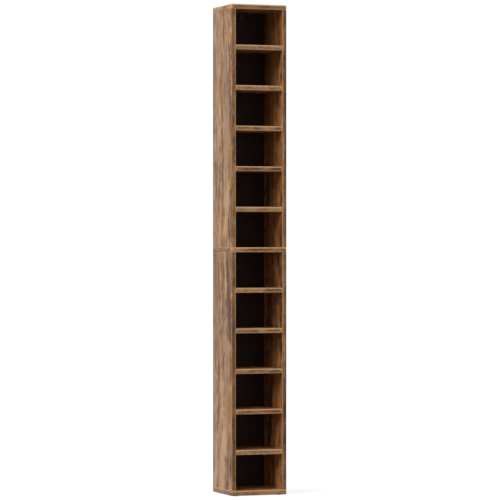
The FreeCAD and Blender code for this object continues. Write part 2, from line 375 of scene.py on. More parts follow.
def finishMaterial(material, look, colour, roughness, height):
    # feeds the material's own shader; what its look doesn't name keeps the shader's own value
    nodes = material.node_tree.nodes
    bump = nodes.new("ShaderNodeBump")
    for name, value in (("Height", height), ("Strength", look["bump"]), ("Distance", look["bumpDepth"])):
        feed(bump.inputs[name], value)
    for name, value in (("Base Color", colour), ("Roughness", roughness), ("Metallic", look.get("metallic")),
                        ("Specular IOR Level", look.get("sheen")), ("Normal", bump.outputs["Normal"])):
        feed(nodes["Principled BSDF"].inputs[name], value)
    return material


def handle(place, look, base=None):
    return useGroup("handling", Point=place, Amount=look["handling"], Base=base or look["roughness"])


def meshValue(place, name):
    node = place.id_data.nodes.new("ShaderNodeAttribute")
    node.attribute_name = name
    return node.outputs["Vector"]


def boardEdges(place, **values):
    return useGroup("edgeWearHighlightShade", Point=place, Low=meshValue(place, "boardLow"),
                    High=meshValue(place, "boardHigh"), **values)


laminateLook = {
    "ground": srgb(147, 103, 65),
    "pale": srgb(196, 151, 106),
    "deep": srgb(78, 46, 26),
    "grey": srgb(120, 94, 79),
    "amber": srgb(168, 118, 58),
    "crack": srgb(46, 27, 16),
    "streaks": 1.15,
    "patches": 1.9,
    "marks": 1.0,                    # cracks, pores and knots
    # pale arrises: wear, together with a painted highlight where light would catch the rounded edge
    "wearAndHighlight": srgb(206, 162, 108),
    "wearAndHighlightShare": 0.4,
    "wearAndHighlightWidth": 1.8 * millimetre,
    "faded": srgb(132, 115, 102),    # towards the rear the print turns greyer
    "fadedShare": 0.28,
    "rearShare": 0.6,                # darker on the last few millimetres at the rear
    "seamShare": 0.6,
    # painted shade on the side of a band away from the light
    "paintedShadeShare": 0.0,
    "handling": 0.05,
    "bump": 0.35,
    "bumpDepth": 0.12 * millimetre,
    "sheen": 0.35,
}

# a copy for the faces that look into the tower, more saturated: painted bounce light, the warm tint
# that light takes from bouncing between the boards
bounceTintedLook = dict(laminateLook, ground=srgb(154, 100, 57), pale=srgb(200, 145, 92),
                     deep=srgb(84, 48, 27), grey=srgb(126, 92, 70), amber=srgb(178, 112, 52),
                     fadedShare=0.0, rearShare=0.0)

# bands on the ends of the wide panels, pale at the top with wear and a painted highlight, and darker
# below with painted shade
endLook = dict(laminateLook, wearAndHighlight=srgb(214, 172, 124), wearAndHighlightShare=0.7, wearAndHighlightWidth=3.0 * millimetre,
               seamShare=0.0, paintedShadeShare=0.5)

# bands on the front edges of the side panels, pale on one side with wear and a painted highlight, and
# darker on the other with painted shade
uprightLook = dict(laminateLook, ground=srgb(134, 95, 62), pale=srgb(190, 144, 98), deep=srgb(66, 40, 24),
                   grey=srgb(112, 92, 78), amber=srgb(170, 112, 52), crack=srgb(44, 25, 14), streaks=1.05,
                   patches=0.95, marks=0.35, wearAndHighlight=srgb(216, 172, 122), wearAndHighlightShare=0.7,
                   wearAndHighlightWidth=3.6 * millimetre, fadedShare=0.0, rearShare=0.0, seamShare=0.0, paintedShadeShare=0.6,
                   sheen=0.2)

# bands on the front edges of the shelves and of the wide panels, pale at the top with wear and a painted
# highlight, and darker below with painted shade
levelLook = dict(uprightLook, ground=srgb(144, 102, 68), pale=srgb(192, 146, 99), deep=srgb(84, 53, 34),
                 streaks=1.35, patches=1.5, wearAndHighlight=srgb(226, 182, 134), wearAndHighlightShare=0.95,
                 wearAndHighlightWidth=6.0 * millimetre)

# what lies over the grain, in this order: a mask of the arris group, the stretch of it that counts,
# and the names of its share and its colour in the look; the first is painted shade on a band's side away
# from the light, and the third is wear on the arrises together with a painted highlight
finishLayers = (
    ("PaintedShade", None, "paintedShadeShare", "deep"),
    ("Rear", (0.45, 1.0), "fadedShare", "faded"),
    ("NearArris", None, "wearAndHighlightShare", "wearAndHighlight"),
    ("Rear", (0.93, 0.985), "rearShare", "deep"),
    ("Seam", None, "seamShare", "crack"),
)


def makeLaminate(name, look):
    # the printed sheet on a board's broad faces, or the band of it glued on an edge
    material, place = newMaterial(name)
    uvPlace = material.node_tree.nodes.new("ShaderNodeUVMap")
    uvPlace.uv_map = "printPlace"
    names = ("ground", "pale", "deep", "grey", "amber", "crack", "streaks", "patches", "marks")
    grain = useGroup("printedGrain", Place=uvPlace.outputs[0], **{name.title(): look[name] for name in names})
    highlightToward = meshValue(place, "highlightSide") if look["paintedShadeShare"] else None
    edges = boardEdges(place, Width=look["wearAndHighlightWidth"], Favour=highlightToward)
    colour = grain["Color"]
    for mask, stretch, share, paint in finishLayers:
        if look[share]:
            cover = spread(edges[mask], *stretch) if stretch else edges[mask]
            colour = mixColours(multiply(cover, look[share]), colour, look[paint])
    roughness = handle(place, look, grain["Roughness"])["Roughness"]
    return finishMaterial(material, look, colour, roughness, grain["Height"])


chipLook = {
    "sheet": srgb(118, 88, 64),      # the laminate, as a thin brown line along both faces
    "sheetWidth": 0.4 * millimetre,
    "raggedness": 0.1,
    "roughness": 0.9,
    "bump": 0.6,
    "bumpDepth": 0.3 * millimetre,
    "sheen": 0.2,
}


def makeChipEdge():
    material, place = newMaterial("chipboardCore")
    look = chipLook
    chips = useGroup("chipboard", Point=place)
    edges = boardEdges(place, Width=look["sheetWidth"], Raggedness=look["raggedness"])
    colour = mixColours(edges["NearArris"], chips["Color"], look["sheet"])
    return finishMaterial(material, look, colour, look["roughness"], chips["Height"])


# the printed face of the backs: a dark brown print, made darker still as painted shade for the deep
# compartments
backShadedPrintLook = {
    "print": srgb(40, 19, 10),
    "streak": srgb(32, 15, 8),
    "streakCells": (220.0, 220.0, 5.0),      # in a metre
    "patchCells": (24.0, 24.0, 3.0),
    "roughness": 0.55,
    "handling": 0.05,
    "bump": 0.2,
    "bumpDepth": 0.1 * millimetre,
    "sheen": 0.12,
}


def makeBackFront():
    material, place = newMaterial("hardboardShadedPrint")
    look = backShadedPrintLook
    streak = noise(place, look["streakCells"], 3.0, 0.6)
    broad = noise(place, look["patchCells"])
    share = add(spread(streak, 0.42, 0.62), spread(broad, 0.45, 0.6, 0.0, 0.35), clamp=True)
    colour = mixColours(share, look["print"], look["streak"])
    return finishMaterial(material, look, colour, handle(place, look)["Roughness"], streak)


# the rough side of hardboard carries the print of the screen it was pressed on
backRearLook = {
    "raw": srgb(118, 84, 58),
    "dark": srgb(88, 60, 40),
    "screenPitch": 1.6 * millimetre,
    "fluffCells": 160.0,             # in a metre
    "patchCells": (9.0, 9.0, 6.0),
    "roughness": 0.85,
    "bump": 0.5,
    "bumpDepth": 0.4 * millimetre,
    "sheen": 0.2,
}


def makeBackRear():
    material, place = newMaterial("hardboardScreenSide")
    look = backRearLook
    x, _, z = splitVector(place)
    turns = 2 * math.pi / look["screenPitch"]
    screen = multiply(doMath("SINE", multiply(x, turns)), doMath("SINE", multiply(z, turns)))
    fluff = noise(place, look["fluffCells"], 5.0, 0.65)
    broad = noise(place, look["patchCells"], 3.0)
    share = add(spread(fluff, 0.35, 0.7), spread(broad, 0.4, 0.65, -0.25, 0.25), clamp=True)
    colour = mixColours(share, look["raw"], look["dark"])
    colour = mixColours(spread(screen, 0.2, 0.9, 0.0, 0.35), colour, look["dark"])
    return finishMaterial(material, look, colour, look["roughness"], multiplyAdd(screen, 0.5, fluff))


castZincLook = {
    "clean": srgb(188, 190, 192),
    "dull": srgb(148, 150, 153),
    "cloudCells": 90.0,              # in a metre
    "gritCells": 1400.0,
    "metallic": 1.0,
    "roughness": 0.42,
    "handling": 0.12,
    "bump": 0.4,
    "bumpDepth": 0.12 * millimetre,
}

platedSteelLook = dict(castZincLook, clean=srgb(206, 206, 202), dull=srgb(166, 165, 160), roughness=0.28,
                       bumpDepth=0.05 * millimetre)


def makeMetal(name, look):
    material, place = newMaterial(name)
    handled = handle(place, look)
    cloud = spread(noise(place, look["cloudCells"], 3.0), 0.4, 0.65, 0.0, 0.6)
    share = add(cloud, multiply(handled["Scratches"], 0.3), clamp=True)
    colour = mixColours(share, look["clean"], look["dull"])
    grit = noise(place, look["gritCells"], 3.0, 0.6)
    return finishMaterial(material, look, colour, handled["Roughness"], grit)


beechLook = {
    "pale": srgb(214, 181, 136),
    "fibre": srgb(186, 148, 103),
    "fleck": srgb(150, 108, 70),
    "fibreCells": (900.0, 900.0, 60.0),      # in a metre
    "fleckCells": (1500.0, 1500.0, 260.0),
    "roughness": 0.75,
    "bump": 0.3,
    "bumpDepth": 0.1 * millimetre,
}


def makeBeech():
    material, place = newMaterial("beechDowel")
    look = beechLook
    fibre = noise(place, look["fibreCells"], 3.0, 0.6)
    fleck = noise(place, look["fleckCells"], 1.0)
    colour = mixColours(spread(fibre, 0.35, 0.65), look["pale"], look["fibre"])
    colour = mixColours(spread(fleck, 0.6, 0.68, 0.0, 0.6), colour, look["fleck"])
    return finishMaterial(material, look, colour, look["roughness"], fibre)


darkPlasticLook = {
    "colour": srgb(38, 31, 27),
    "cloudy": srgb(56, 47, 41),
    "pebble": (2600.0, 2.0, 0.6),    # cells in a metre, detail and roughness of the skin
    "cloud": (120.0, 2.0, 0.5),      # and of the faint change in colour
    "roughness": 0.5,
    "handling": 0.1,
    "bump": 0.4,
    "bumpDepth": 0.08 * millimetre,
}

capPlasticLook = dict(darkPlasticLook, colour=srgb(112, 78, 50), cloudy=srgb(98, 67, 43))

# powder coat with a fine orange-peel skin
darkPaintLook = {
    "colour": srgb(40, 24, 15),
    "cloudy": srgb(31, 18, 11),
    "pebble": (1100.0, 2.0, 0.5),
    "cloud": (150.0, 3.0, 0.6),
    "roughness": 0.55,
    "handling": 0.08,
    "bump": 0.35,
    "bumpDepth": 0.1 * millimetre,
    "sheen": 0.22,
}


def makeCoated(name, look):
    # moulded plastic or paint
    material, place = newMaterial(name)
    colour = mixColours(spread(noise(place, *look["cloud"]), 0.35, 0.65), look["colour"], look["cloudy"])
    return finishMaterial(material, look, colour, handle(place, look)["Roughness"],
                          noise(place, *look["pebble"]))


laminateFace = makeLaminate("rusticLaminate", laminateLook)
bounceTintedFace = makeLaminate("rusticLaminateBounceTinted", bounceTintedLook)
endBand = makeLaminate("rusticEndBand", endLook)
uprightBand = makeLaminate("rusticUprightBand", uprightLook)
levelBand = makeLaminate("rusticLevelBand", levelLook)
chipEdge = makeChipEdge()
backFront = makeBackFront()
backRear = makeBackRear()
castZinc = makeMetal("castZinc", castZincLook)
platedSteel = makeMetal("platedSteel", platedSteelLook)
beech = makeBeech()
darkPlastic = makeCoated("darkPlastic", darkPlasticLook)
capPlastic = makeCoated("brownCapPlastic", capPlasticLook)
darkPaint = makeCoated("brownPowderCoat", darkPaintLook)
print("materials made")


# mesh helpers

def addObject(name, data):
    item = bpy.data.objects.new(name, data)
    bpy.context.scene.collection.objects.link(item)
    return item


def newPiece(name, mesh, nodes, materials):
    piece = addObject(name, mesh)
    for material in materials:
        mesh.materials.append(material)
    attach(piece, "root")
    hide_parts(*nodes)
    return piece


def workFrom(mesh):
    work = bmesh.new()
    work.from_mesh(mesh)
    return work


def meshFrom(work, name):
    mesh = bpy.data.meshes.new(name)
    work.to_mesh(mesh)
    work.free()
    return mesh


def finishMesh(work, name, smoothUnder=smoothAngle):
    mesh = meshFrom(work, name)
    for polygon in mesh.polygons:
        polygon.use_smooth = True
    mesh.set_sharp_from_angle(angle=smoothUnder)
    return mesh


def makeGroup(name, node, material, work, smoothUnder=smoothAngle):
    bmesh.ops.recalc_face_normals(work, faces=work.faces[:])
    return newPiece(name, finishMesh(work, name, smoothUnder), [node], [material])


def middleOf(box):
    return (box[0] + box[1]) / 2


def solidBoxes(node):
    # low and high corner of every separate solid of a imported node
    work = workFrom(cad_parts[node].data)
    bmesh.ops.remove_doubles(work, verts=work.verts[:], dist=nearly / 10)
    left = set(work.verts)
    boxes = []
    while left:
        reached = [left.pop()]
        corners = []
        while reached:
            vertex = reached.pop()
            corners.append(vertex.co.copy())
            for other in [edge.other_vert(vertex) for edge in vertex.link_edges]:
                if other in left:
                    left.remove(other)
                    reached.append(other)
        boxes.append([Vector(pick(corner[i] for corner in corners) for i in range(3))
                      for pick in (min, max)])
    work.free()
    return sorted(boxes, key=lambda box: tuple(round(value, 4) for value in box[0]))


def addBox(work, first, second):
    # between two opposite corners, in any order
    size = [abs(value) for value in Vector(second) - Vector(first)]
    place = Matrix.Translation((Vector(first) + Vector(second)) / 2)
    bmesh.ops.create_cube(work, size=1.0, matrix=place @ Matrix.Diagonal((*size, 1.0)))


def addRings(work, foot, axis, rings, sides):
    # a closed turned shape: rings are (distance along the axis, radius or a function of the angle)
    place = Matrix.Translation(foot) @ Vector(axis).to_track_quat("Z", "Y").to_matrix().to_4x4()
    loops = []
    for along, radius in rings:
        loop = []
        for step in range(sides):
            angle = 2 * math.pi * step / sides
            reach = radius(angle) if callable(radius) else radius
            corner = Vector((reach * math.cos(angle), reach * math.sin(angle), along))
            loop.append(work.verts.new(place @ corner))
        loops.append(loop)
    for lower, upper in zip(loops, loops[1:]):
        for step in range(sides):
            after = (step + 1) % sides
            work.faces.new((lower[step], lower[after], upper[after], upper[step]))
    work.faces.new(loops[0][::-1])
    work.faces.new(loops[-1])


def addCylinder(work, foot, axis, length, radius, sides):
    addRings(work, foot, axis, [(0, radius), (length, radius)], sides)


def addCross(work, centre, index, ends, sizes):
    # two crossed slots about centre, cut along one axis between its two ends
    across = [i for i in range(3) if i != index]
    for pair in (sizes, sizes[::-1]):
        corners = Vector(centre), Vector(centre)
        for corner, end, sign in zip(corners, ends, (-1, 1)):
            corner[index] = end
            for i, size in zip(across, pair):
                corner[i] = centre[i] + sign * size / 2
        addBox(work, *corners)


def lineFrom(box, axis, start, way=1):
    # the point at start on the middle line of a box, and the way that the line goes from there
    index = "xyz".index(axis)
    foot, direction = middleOf(box), Vector((0, 0, 0))
    foot[index] = start
    direction[index] = way
    return foot, direction


def turned(work, box, axis, rings, sides, fromHigh=False):
    # a turned solid along the middle line of a packed one, its rings measured from either end
    start = box[1 if fromHigh else 0]["xyz".index(axis)]
    addRings(work, *lineFrom(box, axis, start, -1 if fromHigh else 1), rings, sides)


def mirrored(rings, length):
    # the same rings, measured from the other end
    return [(length - along, radius) for along, radius in reversed(rings)]


def drill(work, box, axis, radius, start, end, sides):
    # a round hole about the middle line of a fitting, from start to end along the axis
    addCylinder(work, *lineFrom(box, axis, min(start, end)), abs(end - start), radius, sides)


def bevelEdges(work, chosen, offset, steps):
    bmesh.ops.bevel(work, geom=[edge for edge in work.edges if chosen(edge)], offset=offset,
                    offset_type="OFFSET", segments=steps, profile=0.5, affect="EDGES")


def combine(body, tool, operation="DIFFERENCE"):
    # takes one working mesh out of another, or joins the two, with an exact boolean
    for work in (body, tool):
        bmesh.ops.recalc_face_normals(work, faces=work.faces[:])
    whole, cutter = (addObject("working", meshFrom(work, "working")) for work in (body, tool))
    step = whole.modifiers.new("cut", "BOOLEAN")
    step.object = cutter
    step.operation = operation
    step.solver = "EXACT"
    step.use_self = True
    shown = whole.evaluated_get(bpy.context.evaluated_depsgraph_get())
    result = workFrom(bpy.data.meshes.new_from_object(shown))
    for item in (whole, cutter):
        bpy.data.objects.remove(item)
    return result


# where the fittings lie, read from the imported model

fittings = {
    "pins": solidBoxes("left_shelf_pins") + solidBoxes("right_shelf_pins"),
    "cams": solidBoxes("cam_locks"),
    "bolts": solidBoxes("cam_bolts") + solidBoxes("double_cam_bolts"),
    "dowels": solidBoxes("end_dowels") + solidBoxes("through_dowels"),
    "caps": solidBoxes("cam_caps"),
    "backs": solidBoxes("lower_back_panel") + solidBoxes("upper_back_panel"),
    "screws": solidBoxes("bracket_screw"),
}
shelfNames = sorted(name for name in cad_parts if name.startswith("shelf_"))
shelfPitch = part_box("shelf_02")[0].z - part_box("shelf_01")[0].z
print("fittings found:", {kind: len(boxes) for kind, boxes in fittings.items()})


def touching(kind, low, high, slack=0.0):
    # the fittings of a kind that reach into a box
    return [box for box in fittings[kind]
            if all(low[i] < box[1][i] - slack and box[0][i] < high[i] - slack for i in range(3))]


# boards

boardShape = {
    "arrisRadius": 2.0 * millimetre,
    "arrisSteps": 5,
    "camBoreRadius": 7.5 * millimetre,
    "camBoreDepth": 12.5 * millimetre,
    "boltBoreRadius": 4.0 * millimetre,      # where a bolt runs loose in a side panel
    "boltHoleRadius": 2.5 * millimetre,      # where it is screwed into a wide one
    "screwHoleRadius": 1.6 * millimetre,
    "grooveSpare": 1.0 * millimetre,         # groove deeper than the back's edge
    # length, width and height of the slot that hides a pin under a shelf's end
    "recess": (8.0 * millimetre, 6.0 * millimetre, 5.5 * millimetre),
    "drillSides": 40,
    "pinSides": 24,
    "overcut": 1.0 * millimetre,
}


def boreEnds(low, high, box):
    # a bore ends with its fitting, or beyond the board where the fitting leaves it
    over = boardShape["overcut"]
    return (low.z - over if box[0].z <= low.z else box[0].z,
            high.z + over if box[1].z >= high.z else box[1].z)


def drillDowels(work, low, high):
    for box in touching("dowels", low, high):
        radius = (box[1].x - box[0].x) / 2
        drill(work, box, "z", radius, *boreEnds(low, high, box), boardShape["drillSides"])


def sideCutter(low, high):
    work = bmesh.new()
    shape = boardShape
    over, sides, pinSides = shape["overcut"], shape["drillSides"], shape["pinSides"]
    side = 1 if low.x > 0 else -1
    inner = low.x if side > 0 else high.x
    mouth = inner - side * over
    pins = touching("pins", low, high)
    pinHeights = sorted({round(middleOf(box).z, 6) for box in pins})
    # spare holes half a pitch over the lowest pins and half a pitch under the highest
    spare = [pinHeights[0] + shelfPitch / 2, pinHeights[-1] - shelfPitch / 2]
    for box in pins:
        tip = box[1].x if side > 0 else box[0].x
        radius = (box[1].z - box[0].z) / 2
        drill(work, box, "x", radius, mouth, tip, pinSides)
        if abs(middleOf(box).z - pinHeights[0]) < nearly:
            for height in spare:
                moved = [corner + Vector((0, 0, height - pinHeights[0])) for corner in box]
                drill(work, moved, "x", radius, mouth, tip, pinSides)
    for box in touching("cams", low, high):
        drill(work, box, "x", shape["camBoreRadius"], mouth, inner + side * shape["camBoreDepth"], sides)
        height = middleOf(box).z
        nearEnd = low.z if height - low.z < high.z - height else high.z
        beyond = nearEnd + math.copysign(over, nearEnd - height)
        for bolt in touching("bolts", *box):
            drill(work, bolt, "z", shape["boltBoreRadius"], beyond, height, sides)
    drillDowels(work, low, high)
    for box in touching("backs", low, high):
        edge = (box[1].x if side > 0 else box[0].x) + side * shape["grooveSpare"]
        addBox(work, (mouth, box[0].y, low.z - over), (edge, box[1].y, high.z + over))
    return work


def wideCutter(low, high):
    work = bmesh.new()
    shape = boardShape
    over, spare = shape["overcut"], shape["grooveSpare"]
    for box in touching("bolts", low, high):
        drill(work, box, "z", shape["boltHoleRadius"], *boreEnds(low, high, box), shape["drillSides"])
    drillDowels(work, low, high)
    for box in touching("backs", low, high):
        below = box[0].z < low.z
        start = low.z - over if below else box[0].z - spare
        end = box[1].z + spare if below else high.z + over
        addBox(work, (box[0].x, box[0].y, start), (box[1].x, box[1].y, end))
    for box in touching("screws", low, high):
        drill(work, box, "z", shape["screwHoleRadius"], low.z - over, box[1].z, shape["pinSides"])
    return work


def shelfCutter(low, high):
    # slots under both ends that hide the pins
    work = bmesh.new()
    length, width, height = boardShape["recess"]
    over = boardShape["overcut"]
    for box in touching("pins", low, high, slack=-nearly):
        right = box[1].x > 0
        start = high.x - length if right else low.x - over
        end = high.x + over if right else low.x + length
        middle = middleOf(box).y
        addBox(work, (start, middle - width / 2, low.z - over), (end, middle + width / 2, low.z + height))
    return work


def isRounded(edge, low, high, kind):
    # the long arrises at the front of every board, and those at both ends of a wide one
    first, last = (vertex.co for vertex in edge.verts)
    run = last - first
    atFront = max(first.y, last.y) < low.y + nearly
    if kind == "side":
        return atFront and abs(run.z) > nearly
    if kind == "shelf":
        return atFront and abs(run.x) > nearly
    atEnd = min(abs(first.x - low.x), abs(first.x - high.x)) < nearly and abs(run.x) < nearly
    return atFront or (atEnd and abs(run.y) > nearly)


# for each way a face can look: which axes run across and along the print
printAxes = {
    "side": {"x": (1, 2), "y": (0, 2), "z": (0, 1)},
    "wide": {"z": (1, 0), "y": (2, 0), "x": (2, 1)},
}

# where the outer left faces start on the roll of printed sheet, in metres across it and along
# it, as listed; every other face starts at a place drawn at random
printStarts = {
    "lower_left_side_panel": (7.0, 12.0),
    "upper_left_side_panel": (9.0, 13.0),
}
printRoll = 30.0            # metres of printed sheet that a face can start anywhere on

faceKinds =("laminate", "frontBand", "core", "bounceTinted", "endBand")


def highlightSide(node, low, kind):
    # the side where a band's arrises take a painted highlight, as if lit from there, and how strongly;
    # painted shade grows towards the other side
    if kind == "side":
        return (-1.5, 0.0, 0.0) if low.x > 0 else (0.4, 0.0, 0.0)
    return (0.0, 0.0, 0.6 if node == "bottom_panel" else 0.35)


def looksInwards(node, sign, low, kind):
    # true for the broad faces that line the compartments, on whichever board
    if kind == "side":
        return sign * low.x < 0
    return (node, sign) not in (("top_panel", 1), ("bottom_panel", -1))


def dressBoard(node, work, low, high, kind, seed):
    # which faces are laminate, edge band or raw core, and where the print lies on each
    uvLayer = work.loops.layers.uv.new("printPlace")
    axes = printAxes["side" if kind == "side" else "wide"]
    broad = "x" if kind == "side" else "z"
    draw = random.Random(seed)
    shifts = {(axis, sign): (draw.uniform(0, printRoll), draw.uniform(0, printRoll))
              for axis in "xyz" for sign in (-1, 1)}
    if node in printStarts:
        shifts["x", -1] = printStarts[node]
    for face in work.faces:
        centre = face.calc_center_median()
        depth = min(min(centre[i] - low[i], high[i] - centre[i]) for i in range(3))
        axis = max("xyz", key=lambda name: abs(face.normal["xyz".index(name)]))
        sign = 1 if face.normal["xyz".index(axis)] > 0 else -1
        found = "core"
        if depth <= boardShape["arrisRadius"] / 2:
            if axis == broad:
                found = "bounceTinted" if looksInwards(node, sign, low, kind) else "laminate"
            elif kind == "wide" and axis == "x":
                found = "endBand"
            elif axis == "y" and sign < 0:
                found = "frontBand"
        face.material_index = faceKinds.index(found)
        across, along = axes[axis]
        moveAcross, moveAlong = shifts[axis, sign]
        for loop in face.loops:
            place = loop.vert.co
            loop[uvLayer].uv = (place[across] + moveAcross, place[along] + moveAlong)


def makeBoard(node, kind, seed):
    low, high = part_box(node)
    plank = bmesh.new()
    addBox(plank, low, high)
    bevelEdges(plank, lambda edge: isRounded(edge, low, high, kind), boardShape["arrisRadius"],
               boardShape["arrisSteps"])
    cutter = {"side": sideCutter, "wide": wideCutter, "shelf": shelfCutter}[kind]
    work = combine(plank, cutter(low, high))
    dressBoard(node, work, low, high, kind, seed)
    mesh = finishMesh(work, node + "_board")
    for name, value in (("boardLow", low), ("boardHigh", high), ("highlightSide", highlightSide(node, low, kind))):
        layer = mesh.attributes.new(name, "FLOAT_VECTOR", "POINT")
        layer.data.foreach_set("vector", list(value) * len(mesh.vertices))
    frontBand = uprightBand if kind == "side" else levelBand
    faceMaterials = {"laminate": laminateFace, "frontBand": frontBand, "core": chipEdge,
                     "bounceTinted": bounceTintedFace, "endBand": endBand}
    board = newPiece(node + "_board", mesh, [node],
                     [faceMaterials[name] for name in faceKinds])
    shade = board.modifiers.new("weighted normals", "WEIGHTED_NORMAL")
    shade.keep_sharp = True


firstSeed = 51
sideNames = sorted(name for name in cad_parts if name.endswith("_side_panel"))
boards = [(name, "side") for name in sideNames]
boards += [(name, "wide") for name in ("bottom_panel", "middle_panel", "top_panel")]
boards += [(name, "shelf") for name in shelfNames]
for seed, (node, kind) in enumerate(boards, firstSeed):
    makeBoard(node, kind, seed)
print("boards made:", len(boards))


# hardboard backs

def makeBack(node):
    low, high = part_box(node)
    work = bmesh.new()
    addBox(work, low, high)
    work.normal_update()
    for face in work.faces:
        face.material_index = 0 if face.normal.y < -0.5 else 1
    mesh = finishMesh(work, node + "_sheet")
    newPiece(node + "_sheet", mesh, [node], [backFront, backRear])


for node in ("lower_back_panel", "upper_back_panel"):
    makeBack(node)
print("backs made")


# fittings: each group is one mesh of separate solids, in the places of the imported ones

def threadRings(start, length, core, depth, pitch, stepsPerTurn=6):
    # rings whose radius climbs round the axis, so that together they make a screw thread
    rings = []
    count = int(length / pitch * stepsPerTurn)
    for step in range(count + 1):
        along = start + length * step / count
        fade = min(1.0, step / stepsPerTurn, (count - step) / stepsPerTurn)

        def radius(angle, along=along, fade=fade):
            turn = along / pitch - angle / (2 * math.pi)
            return core + depth * fade * (1 - abs(2 * (turn - math.floor(turn)) - 1))

        rings.append((along, radius))
    return rings


shelfPin = {
    "tipDrop": 0.7 * millimetre,
    "tipLength": 0.6 * millimetre,
    "grooveDepth": 0.25 * millimetre,
    "inPanel": 9.0 * millimetre,     # the stop groove lies at the panel's face
    "grooveLength": 0.8 * millimetre,
    "sides": 28,
}


def makePins(side):
    work = bmesh.new()
    pin = shelfPin
    tip, drop = pin["tipLength"], pin["tipDrop"]
    start = pin["inPanel"] - pin["grooveLength"] / 2
    stop = pin["inPanel"] + pin["grooveLength"] / 2
    for low, high in solidBoxes(side + "_shelf_pins"):
        radius = (high.z - low.z) / 2
        sunk = radius - pin["grooveDepth"]
        end = [(0, radius - drop), (tip * 0.35, radius - drop * 0.45), (tip, radius - drop * 0.06),
               (tip * 1.5, radius)]
        groove = [(start - tip / 3, radius), (start, sunk), (stop, sunk), (stop + tip / 3, radius)]
        rings = end + groove + mirrored(end, high.x - low.x)
        turned(work, (low, high), "x", rings, pin["sides"], fromHigh=side == "right")
    makeGroup(side + "_steel_pins", side + "_shelf_pins", platedSteel, work)


dowelShape = {
    "flutes": 20,
    "fluteDepth": 0.22 * millimetre,
    "chamfer": 1.2 * millimetre,
    "sides": 80,
    "smoothUnder": math.radians(50),
}


def makeDowels(node):
    work = bmesh.new()
    shape = dowelShape
    for low, high in solidBoxes(node):
        radius = (high.x - low.x) / 2

        def fluted(angle, radius=radius):
            return radius - shape["fluteDepth"] * (0.5 + 0.5 * math.cos(shape["flutes"] * angle)) ** 2

        end = [(0, radius - shape["chamfer"] * 0.7), (shape["chamfer"], fluted)]
        turned(work, (low, high), "z", end + mirrored(end, high.z - low.z), shape["sides"])
    makeGroup(node + "_fluted", node, beech, work, shape["smoothUnder"])


boltShape = {
    "inBoard": 11.0 * millimetre,
    "throughBoard": 18.0 * millimetre,   # the middle panel, which a double bolt passes
    "core": 1.7 * millimetre,
    "threadPitch": 2.2 * millimetre,
    "collarRadius": 2.5 * millimetre,
    "collarLength": 1.2 * millimetre,
    "outOfBoard": 36.0 * millimetre,     # from the board's face to the end of the head
    "shank": 2.1 * millimetre,
    "neck": 1.7 * millimetre,
    "neckLength": 6.0 * millimetre,
    "headLength": 4.0 * millimetre,
    "bevel": 0.5 * millimetre,
    "sides": 28,
    "smoothUnder": math.radians(50),     # on the threaded bolts
}


def boltTipRings(start, head):
    # from a collar at the board's face to the domed head that the cam grips; start is the collar's
    # foot and head the head's radius
    shape = boltShape
    bevel, collar, shank, neck = (shape[name] for name in ("bevel", "collarRadius", "shank", "neck"))
    collarEnd = start + shape["collarLength"]
    headEnd = start + shape["outOfBoard"]
    headStart = headEnd - shape["headLength"]
    neckStart = headStart - shape["neckLength"]
    return [(start, collar), (collarEnd, collar), (collarEnd + bevel, shank), (neckStart - bevel, shank),
            (neckStart, neck), (headStart - bevel / 2, neck), (headStart, head - bevel),
            (headStart + bevel, head), (headEnd - 2 * bevel, head), (headEnd - bevel / 2, head - bevel),
            (headEnd, head - 3 * bevel)]


def makeBolts():
    shape = boltShape
    bevel, core, inBoard = shape["bevel"], shape["core"], shape["inBoard"]
    middle = (cadBox[1][2] + cadBox[0][2]) / 2
    single, double = bmesh.new(), bmesh.new()
    thread = threadRings(2 * bevel, inBoard - 4 * bevel, core, shape["collarRadius"] - core,
                         shape["threadPitch"])
    for low, high in solidBoxes("cam_bolts"):
        rings = [(0, core * 0.4), (bevel, core), *thread, (inBoard - bevel, core)]
        rings += boltTipRings(inBoard, (high.y - low.y) / 2)
        turned(single, (low, high), "z", rings, shape["sides"], fromHigh=low.z > middle)
    makeGroup("threaded_cam_bolts", "cam_bolts", platedSteel, single, shape["smoothUnder"])
    for low, high in solidBoxes("double_cam_bolts"):
        length = high.z - low.z
        upper = boltTipRings((length + shape["throughBoard"]) / 2, (high.y - low.y) / 2)
        turned(double, (low, high), "z", mirrored(upper, length) + upper, shape["sides"])
    makeGroup("double_headed_bolts", "double_cam_bolts", platedSteel, double)


camShape = {
    "rimBevel": 0.4 * millimetre,
    "crossLength": 9.0 * millimetre,
    "crossWidth": 1.6 * millimetre,
    "crossDepth": 2.0 * millimetre,
    "cavityRadius": 4.03 * millimetre,
    "cavityHeight": 7.4 * millimetre,
    "cavitySides": 32,
    "slotWidth": 4.2 * millimetre,
    "mouthWidth": 7.2 * millimetre,
    "sides": 48,
}


